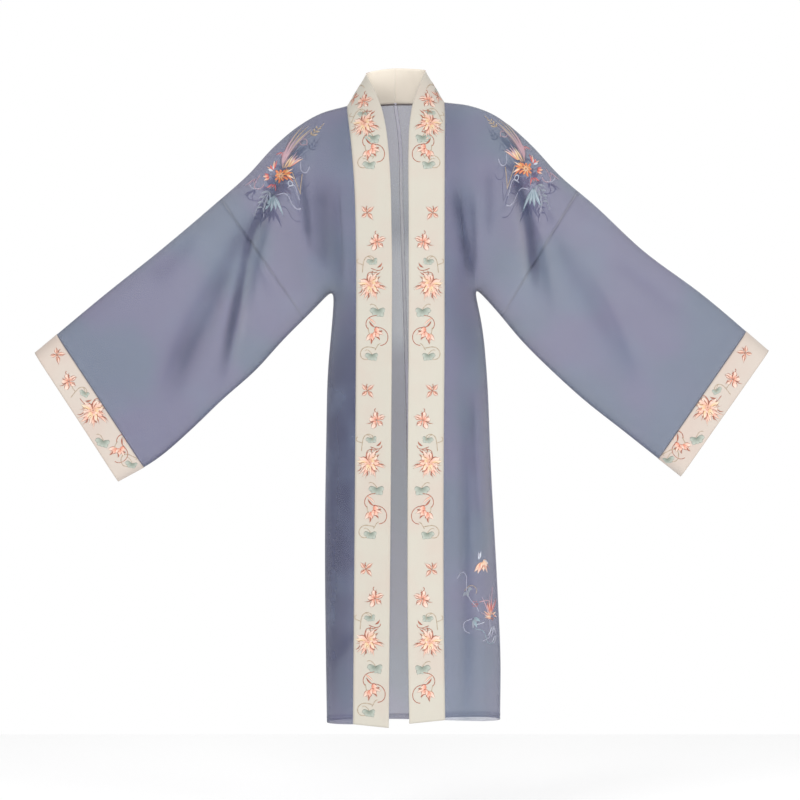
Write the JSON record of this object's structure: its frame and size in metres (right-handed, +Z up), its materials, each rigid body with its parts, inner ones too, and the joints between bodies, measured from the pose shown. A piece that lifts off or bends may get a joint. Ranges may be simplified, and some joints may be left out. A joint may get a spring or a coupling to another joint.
{
  "type": "hanfu robe",
  "caption": "Long open-front robe of sheer cloth with wide sleeves, a standing collar band down both fronts and banded cuffs, filled out as worn.",
  "frame": {"origin": "middle of the neck opening, level with the side of the neck, where the wearer's shoulders carry the robe", "axes": "+Z up, -Y the front, +X the wearer's left"},
  "size_m": [1.4643, 0.2539, 1.315],
  "materials": {
    "left_body": "sheer blue-grey chiffon, soft matt",
    "right_body": "sheer blue-grey chiffon, soft matt",
    "left_sleeve": "sheer blue-grey chiffon, soft matt",
    "right_sleeve": "sheer blue-grey chiffon, soft matt",
    "left_cuff": "cream cloth, embroidered",
    "right_cuff": "cream cloth, embroidered",
    "left_band": "cream cloth, embroidered",
    "right_band": "cream cloth, embroidered"
  },
  "bodies": {
    "root": {"left_body": "left_body", "right_body": "right_body", "left_sleeve": "left_sleeve", "right_sleeve": "right_sleeve", "left_cuff": "left_cuff", "right_cuff": "right_cuff", "left_band": "left_band", "right_band": "right_band"}
  },
  "joints": []
}
